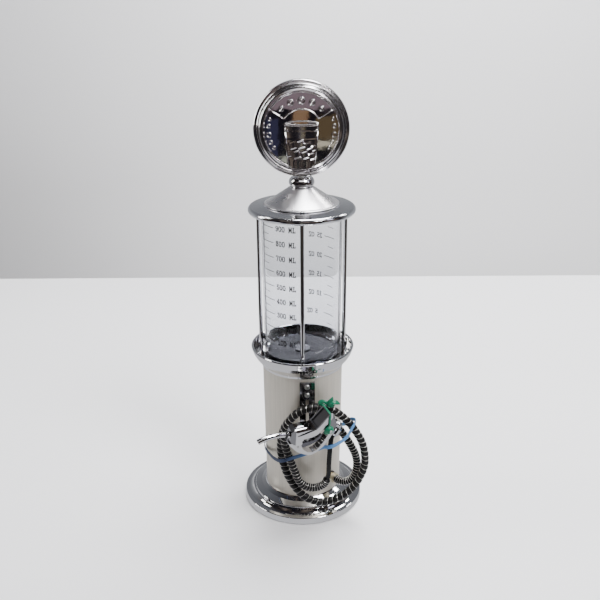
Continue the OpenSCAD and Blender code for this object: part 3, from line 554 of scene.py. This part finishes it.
# The second goes round the nozzle's handle, with its ends turned up in front of it
wrap = [(38, -9.9, 0.4), (38, -9.8, 10), (38, -9.8, 22.4), (38, -8.6, 24), (38, 0, 24.3), (38, 8.6, 24),
        (38, 9.8, 22.4), (38, 9.8, 10), (38, 9.9, 0.4), (37.8, 9.4, -2.3), (37.8, 0, -2.6),
        (37.8, -9.4, -2.3)]
wrap_lean = [(0, -1, 0), (0, -1, 0), (0, -1, 0.5), (0, -0.5, 1), (0, 0, 1), (0, 0.5, 1), (0, 1, 0.5),
             (0, 1, 0), (0, 1, -0.3), (0, 0.5, -1), (0, 0, -1), (0, -0.5, -1), (0, -1, -0.3)]
turn = NOZZLE.to_3x3()
wrap_tie = strips("green_wrap", [
    ([on_nozzle(*p) for p in wrap], [2.2], [tuple(turn @ Vector(v)) for v in wrap_lean], True),
    ([on_nozzle(*p) for p in [(38.4, -8, -3), (35.6, -10.4, -1.6), (33.6, -11.4, 2), (34.6, -11.8, 5.4),
                              (38, -11.9, 7), (41.4, -11.6, 4.6), (42, -11, 0.6), (40.4, -9.8, -2.6)]],
     [2.8, 4.6, 5, 4.8, 4.4, 2.8],
     [tuple(turn @ Vector(v)) for v in [(-0.6, -1, -0.3), (-0.9, -0.8, 0.3), (0, -0.7, 1), (1, -0.7, 0.2),
                                        (0.4, -1, -0.9)]], False)], GREEN)
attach(wrap_tie, "nozzle")
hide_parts("handle_tie")


# The globe's raised picture, in mm from the globe's centre -------------------------
globe_low, globe_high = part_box("globe_front")
GLOBE_R = (globe_high[0] - globe_low[0]) / 2
GLOBE_Z = globe_low[2] + GLOBE_R
FACE_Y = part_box("globe_emblem")[1][1]  # the flat middle of the front face
BANNER_END = 58  # degrees from straight up to each end of the banner
BANNER_RIDGES = ((38, 0.7), (21, 0.9))  # each ridge's radius and thickness
RINGS_R = 29.5
RINGS = ((-44, 2.3), (-22, 2.8), (0, 3.3), (22, 2.8), (44, 2.3))  # each ring's angle and radius
DOTS_R = 34.2
DOTS = ((72, 1.5), (84, 1.9), (99, 2.4), (112, 1.9), (123, 1.6))  # each dot's angle and radius
TUMBLER_TOP = 4.5
TUMBLER_FOOT = -40
TUMBLER_HALF = (13.6, 17.2)  # half its width at the foot and at the top
RIM_Z = 5.6
RIM_HALF = 17.8
RIM_SAG = 1.4  # how far the middle of the rim and of the bead under it hang below their ends
BEAD_Z = -0.4
BEAD_HALF = 17.2
SUNK_BAND = (-9.5, -1.5)
FLUTES_TOP = -31
ICE_SPREAD = 14.5
# Each piece of ice: its place across from -1 to 1, its height, its size and how far it stands out
ICE = [(-0.62, -16, 4.3, 1.0), (-0.05, -15, 4.6, 1.3), (0.5, -16.5, 4.2, 0.9), (0.88, -19, 3.2, 0.8),
       (-0.88, -25, 3.4, 0.8), (-0.34, -25.5, 4.6, 1.3), (0.26, -26, 4.4, 1.1), (0.74, -27.5, 3.9, 1.0)]


def ridge_rings(points, radius, closed, sides=8):
    """A ridge that stands half out of the face, through (x, z) points."""
    line = np.array([(x * MM, FACE_Y, GLOBE_Z + z * MM) for x, z in points])
    out = np.array([0.0, -1.0, 0.0])
    across = np.cross(tangents(line, closed), out)
    angle = np.linspace(0, 2 * math.pi, sides, endpoint=False)
    r = radius * MM
    return (line[:, None] + np.cos(angle)[None, :, None] * r * across[:, None]
            + (np.sin(angle)[None, :, None] * r * out[None, None]))


def polar_point(radius, angle):
    """A point round the globe's centre; the angle is in degrees from straight up, to the right."""
    return radius * math.sin(math.radians(angle)), radius * math.cos(math.radians(angle))


def circle_points(centre, radius, count=20):
    """Points round a circle with its centre at an (x, z) point."""
    return [(centre[0] + radius * math.cos(a), centre[1] + radius * math.sin(a))
            for a in np.linspace(0, 2 * math.pi, count, endpoint=False)]


def add_rings(bm, rings, closed):
    """Join rings of points into a tube, closed on itself or capped at both ends."""
    rows = [[bm.verts.new(v) for v in ring] for ring in rings]
    pairs = zip(rows, rows[1:] + rows[:1]) if closed else zip(rows, rows[1:])
    for a, b in pairs:
        for k in range(len(a)):
            bm.faces.new((a[k], a[(k + 1) % len(a)], b[(k + 1) % len(a)], b[k]))
    if not closed:
        bm.faces.new(rows[0][::-1])
        bm.faces.new(rows[-1])


def add_height(bm, corner, height):
    """A raised patch. For u and v from 0 to 1, corner is a point's place and height how far it stands out."""
    nu, nv = 56, 76
    sunk = 0.4 * MM
    front = [[bm.verts.new((x * MM, FACE_Y - max(height(i / nu, j / nv), 0.0) * MM, GLOBE_Z + z * MM))
              for j in range(nv + 1) for x, z in [corner(i / nu, j / nv)]] for i in range(nu + 1)]
    back = [[bm.verts.new((v.co.x, FACE_Y + sunk, v.co.z)) for v in row] for row in front]
    for grid, flip in ((front, False), (back, True)):
        for i in range(nu):
            for j in range(nv):
                quad = (grid[i][j], grid[i + 1][j], grid[i + 1][j + 1], grid[i][j + 1])
                bm.faces.new(quad[::-1] if flip else quad)
    rim = ([(i, 0) for i in range(nu)] + [(nu, j) for j in range(nv)]
           + [(i, nv) for i in range(nu, 0, -1)] + [(0, j) for j in range(nv, 0, -1)])
    for (i, j), (i2, j2) in zip(rim, rim[1:] + rim[:1]):
        bm.faces.new((front[i][j], front[i2][j2], back[i2][j2], back[i][j]))


def tumbler_place(u, v):
    z = TUMBLER_TOP - (TUMBLER_TOP - TUMBLER_FOOT) * v
    half = np.interp(z, [TUMBLER_FOOT, TUMBLER_TOP], TUMBLER_HALF)
    return (2 * u - 1) * half, z - (1.6 * (1 - (2 * u - 1) ** 2) * v)


def tumbler_height(u, v):
    """A round glass, sunk a little above the drink, with ice in the drink and flutes at its foot."""
    side = 2 * u - 1
    x, z = tumbler_place(u, v)
    h = 0.5 + 1.5 * (1 - side ** 2)
    h -= 0.35 if SUNK_BAND[0] < z < SUNK_BAND[1] else 0.0
    for at, ice_z, size, tall in ICE:
        right, up = x - at * ICE_SPREAD, z - ice_z
        d = max(abs(right + 0.35 * up), abs(up - 0.35 * right)) / size
        h += tall * max(0.0, min(1.0, 2.4 * (1 - d)))
    if z < FLUTES_TOP:
        h += 0.55 * max(0.0, math.cos(side * math.pi * 4.0)) * min(1.0, (FLUTES_TOP - z) / 2)
    return h if 0.0 < u < 1.0 and 0.0 < v < 1.0 else 0.1


def globe_picture():
    """A banner with rings in it, dots down each side, and a tumbler with ice."""
    bm = bmesh.new()

    def ridge(points, radius):
        add_rings(bm, ridge_rings(points, radius, False), False)

    def loop(centre, size, radius):
        add_rings(bm, ridge_rings(circle_points(centre, size), radius, True), True)

    for radius, size in BANNER_RIDGES:
        ridge([polar_point(radius, a) for a in np.linspace(-BANNER_END, BANNER_END, 60)], size)
    for side in (-1, 1):
        ridge([polar_point(r, side * BANNER_END) for r in (21, 27, 33, 38)], 0.75)
        for angle, size in DOTS:
            loop(polar_point(DOTS_R, side * angle), size, 0.6)
    for angle, size in RINGS:
        centre = polar_point(RINGS_R, angle)
        loop(centre, size, 0.8)
        add_rings(bm, ridge_rings(circle_points(centre, size * 0.35, 12), 0.45, True, 6), True)
    add_height(bm, tumbler_place, tumbler_height)
    for z, half, size in ((RIM_Z, RIM_HALF, 1.5), (BEAD_Z, BEAD_HALF, 1.2)):
        ridge([(half * s, z - RIM_SAG * (1 - s * s)) for s in np.linspace(-1, 1, 24)], size)
    ridge([(RIM_HALF * math.cos(a), RIM_Z + 3.0 * math.sin(a)) for a in np.linspace(0, math.pi, 24)], 0.9)
    for side in (-1, 1):
        ridge([(side * BEAD_HALF, 3), (side * 14, -38)], 0.9)
    return finish_object("globe_picture", bpy.data.meshes.new("globe_picture"), bm, CHROME_RIDGE)


picture = globe_picture()
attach(picture, "cap")
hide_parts("globe_emblem")


# The measuring scale, printed on the tube -------------------------------------
tube_low, tube_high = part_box("reservoir_tube")
TUBE_TOP_R = tube_high[0]
TUBE_FOOT_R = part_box("reservoir_seat")[1][0] + 0.1 * MM
ZERO_Z = 0.2003  # the height at which the scale would start
ML = 0.1632 * MM  # height of one millilitre on the scale
OZ = 4.70 * MM  # height of one ounce
# The angles between which the ticks run and at which the words start
ML_TICK = (-68, -43)
ML_SMALL_TICK = (-67, -53)
ML_WORDS = -38.5
OZ_TICK = (120, 143)
OZ_SMALL_TICK = (123, 136)
OZ_WORDS = 147.5
OZ_SHORT_WORDS = 154.5  # for the one number that has one figure
MAIN_TICK = 0.75 * MM
SMALL_TICK = 0.65 * MM
LETTER_HIGH = 5.2 * MM
PRINT_FROM = 0.02 * MM  # the print's two sides, out from the tube
TICK_TO = 0.12 * MM
LETTER_TO = 0.10 * MM


def tube_point(angle, z, out):
    """A point on the tube's outside; angle is in degrees from the front, to the right."""
    r = np.interp(z, [tube_low[2], tube_high[2]], [TUBE_FOOT_R, TUBE_TOP_R]) + out
    a = math.radians(angle)
    return (r * math.sin(a), -r * math.cos(a), z)


def tube_tick(bm, angles, z, height):
    steps = 6
    start, end = angles
    rings = [[tube_point(start + (end - start) * i / steps, z + s * height / 2, out)
              for s, out in ((-1, PRINT_FROM), (1, PRINT_FROM), (1, TICK_TO), (-1, TICK_TO))]
             for i in range(steps + 1)]
    add_rings(bm, rings, False)


# The print's letters as strokes in a box one wide and one high
GLYPHS = {
    "0": [[(0.5, 1), (0.2, 0.9), (0.1, 0.5), (0.2, 0.1), (0.5, 0), (0.8, 0.1), (0.9, 0.5), (0.8, 0.9),
           (0.5, 1)]],
    "1": [[(0.25, 0.8), (0.5, 1), (0.5, 0)], [(0.2, 0), (0.8, 0)]],
    "2": [[(0.12, 0.75), (0.25, 0.95), (0.6, 1), (0.85, 0.8), (0.7, 0.5), (0.1, 0), (0.9, 0), (0.9, 0.15)]],
    "3": [[(0.12, 0.85), (0.4, 1), (0.75, 0.9), (0.8, 0.7), (0.45, 0.54), (0.85, 0.38), (0.85, 0.14),
           (0.45, 0), (0.1, 0.14)]],
    "4": [[(0.9, 0.28), (0.08, 0.28), (0.66, 1), (0.66, 0)], [(0.48, 0), (0.86, 0)]],
    "5": [[(0.85, 1), (0.22, 1), (0.17, 0.55), (0.6, 0.6), (0.88, 0.38), (0.8, 0.1), (0.45, 0),
           (0.1, 0.14)]],
    "6": [[(0.82, 0.92), (0.5, 1), (0.2, 0.75), (0.1, 0.35), (0.3, 0.02), (0.7, 0.02), (0.88, 0.3),
           (0.6, 0.58), (0.15, 0.45)]],
    "7": [[(0.1, 0.85), (0.1, 1), (0.88, 1), (0.42, 0)]],
    "8": [[(0.5, 0.54), (0.18, 0.72), (0.3, 0.98), (0.7, 0.98), (0.82, 0.72), (0.5, 0.54), (0.1, 0.3),
           (0.25, 0.02), (0.75, 0.02), (0.9, 0.3), (0.5, 0.54)]],
    "9": [[(0.18, 0.08), (0.5, 0), (0.8, 0.25), (0.9, 0.65), (0.7, 0.98), (0.3, 0.98), (0.12, 0.7),
           (0.4, 0.42), (0.85, 0.55)]],
    "M": [[(0.05, 0), (0.12, 0), (0.12, 1), (0.5, 0.3), (0.88, 1), (0.88, 0), (0.98, 0)]],
    "L": [[(0.15, 1), (0.5, 1)], [(0.32, 1), (0.32, 0)], [(0.15, 0), (0.9, 0), (0.9, 0.22)]],
    "O": [[(0.5, 1), (0.15, 0.85), (0.05, 0.5), (0.15, 0.15), (0.5, 0), (0.85, 0.15), (0.95, 0.5),
           (0.85, 0.85), (0.5, 1)]],
    "Z": [[(0.1, 0.85), (0.1, 1), (0.9, 1), (0.1, 0), (0.9, 0), (0.9, 0.15)]],
}


def tube_words(bm, words, angle, z, wide, gap, bold):
    """Words wrapped round the tube in strokes, starting at that angle and running to the right as read.

    wide is a letter's width in heights, gap the step to the next letter in widths, bold the stroke in mm.
    """
    high, half = LETTER_HIGH, bold * MM / 2
    for place, letter in enumerate(words):
        start = place * high * wide * gap
        for stroke in GLYPHS.get(letter, []):
            dots = [Vector((start + x * high * wide, (y - 0.5) * high)) for x, y in stroke]
            for a, b in zip(dots, dots[1:]):
                along = (b - a).normalized() * half
                across = Vector((-along.y, along.x))
                corners = [a - along - across, b + along - across, b + along + across, a - along + across]
                add_rings(bm, [[tube_point(angle + math.degrees(c.x / TUBE_TOP_R), z + c.y, out)
                                for c in corners] for out in (PRINT_FROM, LETTER_TO)], False)


def scale_print():
    """Millilitres on the left, and ounces on the back, where the front shows them in reverse."""
    bm = bmesh.new()
    for ml in range(100, 950, 50):
        z = ZERO_Z + ml * ML
        if ml % 100 == 0:
            tube_tick(bm, ML_TICK, z, MAIN_TICK)
            tube_words(bm, f"{ml} ML", ML_WORDS, z, 0.62, 1.22, 1.0)
        else:
            tube_tick(bm, ML_SMALL_TICK, z, SMALL_TICK)
    for step in range(1, 12):
        oz = 2.5 * step
        z = ZERO_Z + oz * OZ
        if step % 2 == 0:
            tube_tick(bm, OZ_TICK, z, MAIN_TICK)
            tube_words(bm, f"{int(oz)} OZ", OZ_WORDS if oz > 5 else OZ_SHORT_WORDS, z, 0.56, 1.18, 0.9)
        else:
            tube_tick(bm, OZ_SMALL_TICK, z, SMALL_TICK)
    return finish_object("tube_scale", bpy.data.meshes.new("tube_scale"), bm, PRINT, smooth=False)


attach(scale_print(), "stand")


# Camera, floor and light --------------------------------------------------------
def set_camera():
    data = bpy.data.cameras.new("camera")
    data.lens = CAMERA_LENS
    data.sensor_width = 36
    camera = bpy.data.objects.new("camera", data)
    bpy.context.collection.objects.link(camera)
    camera.matrix_world = (Matrix.Translation(CAMERA_AT)
                           @ Matrix.Rotation(math.radians(90 - CAMERA_DOWN), 4, "X")
                           @ Matrix.Rotation(math.radians(-CAMERA_ROLL), 4, "Z"))
    bpy.context.scene.camera = camera


def area_light(name, at, size, power, colour=(1, 1, 1), towards=(0, 0, 0.25)):
    data = bpy.data.lights.new(name, "AREA")
    data.shape = "RECTANGLE"
    data.size, data.size_y = size
    data.energy = power
    data.color = colour
    obj = bpy.data.objects.new(name, data)
    bpy.context.collection.objects.link(obj)
    obj.location = at
    obj.rotation_euler = (Vector(towards) - Vector(at)).to_track_quat("-Z", "Y").to_euler()


def sheet(name, rows, colour, half):
    """A flat backdrop sheet through (y, z) rows, from -half to half across, that the plate doesn't mirror."""
    under = 0.0002  # so that nothing lies in the table's own plane
    verts = [(x, y, z - under) for y, z in rows for x in (-half, half)]
    faces = [(2 * i, 2 * i + 1, 2 * i + 3, 2 * i + 2) for i in range(len(rows) - 1)]
    m = Mat(name)
    m.drive(Base_Color=m.ramp(m.noise(3, 3), [0.97 * c for c in colour], colour),
            Roughness=m.span(m.noise(30, 3), 0.45, 0.6))
    obj = mesh_object(name, verts, faces, m.material, smooth=False)
    obj.visible_glossy = False


def card(name, corners, colour, power=1.0):
    """Something only the bright plate sees, in mirror; corners are world points."""
    mesh = bpy.data.meshes.new(name)
    mesh.from_pydata(corners, [], [tuple(range(len(corners)))])
    material = bpy.data.materials.new(name)
    material.use_nodes = True
    nodes = material.node_tree.nodes
    nodes.clear()
    glow = nodes.new("ShaderNodeEmission")
    glow.inputs[0].default_value = (*colour, 1)
    glow.inputs[1].default_value = power
    material.node_tree.links.new(glow.outputs[0], nodes.new("ShaderNodeOutputMaterial").inputs[0])
    obj = bpy.data.objects.new(name, mesh)
    bpy.context.collection.objects.link(obj)
    mesh.materials.append(material)
    obj.visible_camera = obj.visible_diffuse = obj.visible_transmission = obj.visible_shadow = False


def ramp_of(nodes, fac, links, stops):
    ramp = nodes.new("ShaderNodeValToRGB")
    links.new(fac, ramp.inputs[0])
    while len(ramp.color_ramp.elements) < len(stops):
        ramp.color_ramp.elements.new(0.5)
    for stop, (at, colour) in zip(ramp.color_ramp.elements, stops):
        stop.position = at
        stop.color = (*colour, 1)
    return ramp.outputs[0]


def room():
    """A dim room in front of the table, with soft shapes for the plate to mirror, and a paler one behind."""
    world = bpy.data.worlds.new("world")
    bpy.context.scene.world = world
    world.use_nodes = True
    nodes, links = world.node_tree.nodes, world.node_tree.links
    back = nodes["Background"]
    coords = nodes.new("ShaderNodeTexCoord").outputs["Generated"]
    split = nodes.new("ShaderNodeSeparateXYZ")
    links.new(coords, split.inputs[0])
    front = nodes.new("ShaderNodeMapRange")
    links.new(split.outputs[1], front.inputs["Value"])
    for key, value in (("From Min", 0.55), ("From Max", -0.05), ("To Min", 0.0), ("To Max", 1.0)):
        front.inputs[key].default_value = value
    noise = nodes.new("ShaderNodeTexNoise")
    noise.inputs["Scale"].default_value = 2.6
    noise.inputs["Detail"].default_value = 2.0
    links.new(coords, noise.inputs["Vector"])
    dim = ramp_of(nodes, noise.outputs["Fac"], links, (
        (0.0, (0.004, 0.004, 0.006)), (0.48, (0.010, 0.009, 0.013)), (0.56, (0.05, 0.04, 0.035)),
        (0.66, (0.16, 0.13, 0.11)), (0.75, (0.10, 0.08, 0.12))))
    pale = ramp_of(nodes, split.outputs[2], links, (
        (0.0, (0.40, 0.41, 0.43)), (0.35, (0.22, 0.225, 0.24)), (0.9, (0.09, 0.095, 0.11))))
    mix = nodes.new("ShaderNodeMix")
    mix.data_type = "RGBA"
    fac, a, b = [s for s in mix.inputs if s.enabled]
    links.new(front.outputs[0], fac)
    links.new(pale, a)
    links.new(dim, b)
    links.new([s for s in mix.outputs if s.enabled][0], back.inputs[0])
    back.inputs[1].default_value = 1.0


set_camera()
TABLE_BACK = 0.777
sheet("table", [(-2.5, 0.0), (TABLE_BACK, 0.0), (TABLE_BACK, -0.03)], (0.93, 0.93, 0.95), 3.0)
sheet("wall", [(1.6, -1.2), (1.6, 2.6)], (0.92, 0.92, 0.94), 4.0)
# What the plate sees of the table is small: its front edge is close, and the room beyond it is dark
card("near_table", [(-0.5, -0.34, -0.001), (0.5, -0.34, -0.001), (0.75, TABLE_BACK, -0.001),
                    (-0.75, TABLE_BACK, -0.001)], (0.80, 0.80, 0.84), 0.85)


def far_card(name, x0, x1, z0, z1, colour):
    """An upright card far in front of the table, for the globe's flat face to mirror."""
    y = -2.2
    card(name, [(x0, y, z0), (x1, y, z0), (x1, y, z1), (x0, y, z1)], colour)


far_card("mauve", -0.16, 0.13, 0.150, 0.30, (0.22, 0.17, 0.19))
far_card("box", -0.022, 0.032, 0.095, 0.150, (0.26, 0.16, 0.09))
far_card("shelf", 0.060, 0.20, 0.040, 0.125, (0.11, 0.08, 0.045))
far_card("ledge", -0.05, 0.20, 0.012, 0.034, (0.62, 0.58, 0.44))
far_card("mat", -0.09, 0.06, -0.15, -0.028, (0.44, 0.46, 0.38))
far_card("post", -0.125, -0.080, -0.08, 0.120, (0.035, 0.035, 0.07))
card("ceiling", [(-0.9, -1.5, 1.9), (0.9, -1.5, 1.9), (0.9, -1.15, 1.9), (-0.9, -1.15, 1.9)],
     (1.0, 0.98, 1.0), 2.2)
card("window", [(1.5, -0.9, 0.7), (1.5, -0.5, 0.7), (1.5, -0.5, 1.5), (1.5, -0.9, 1.5)],
     (0.85, 0.82, 1.0), 2.0)
room()
area_light("key", (0.75, -0.75, 1.5), (0.5, 0.5), 26, (1.0, 0.99, 1.0))
area_light("top", (0.25, 0.30, 1.9), (1.2, 0.8), 52, (0.98, 0.99, 1.0))
area_light("side", (-1.3, 0.1, 0.9), (0.25, 1.2), 7, (1.0, 0.99, 0.97))
area_light("wall_wash", (0.7, 0.85, 1.5), (1.8, 0.3), 36, (1, 1, 1), (0.6, 1.6, -0.2))
area_light("wall_low", (0.6, 0.95, -0.25), (2.2, 0.2), 8, (1, 1, 1), (0.6, 1.6, 0.05))
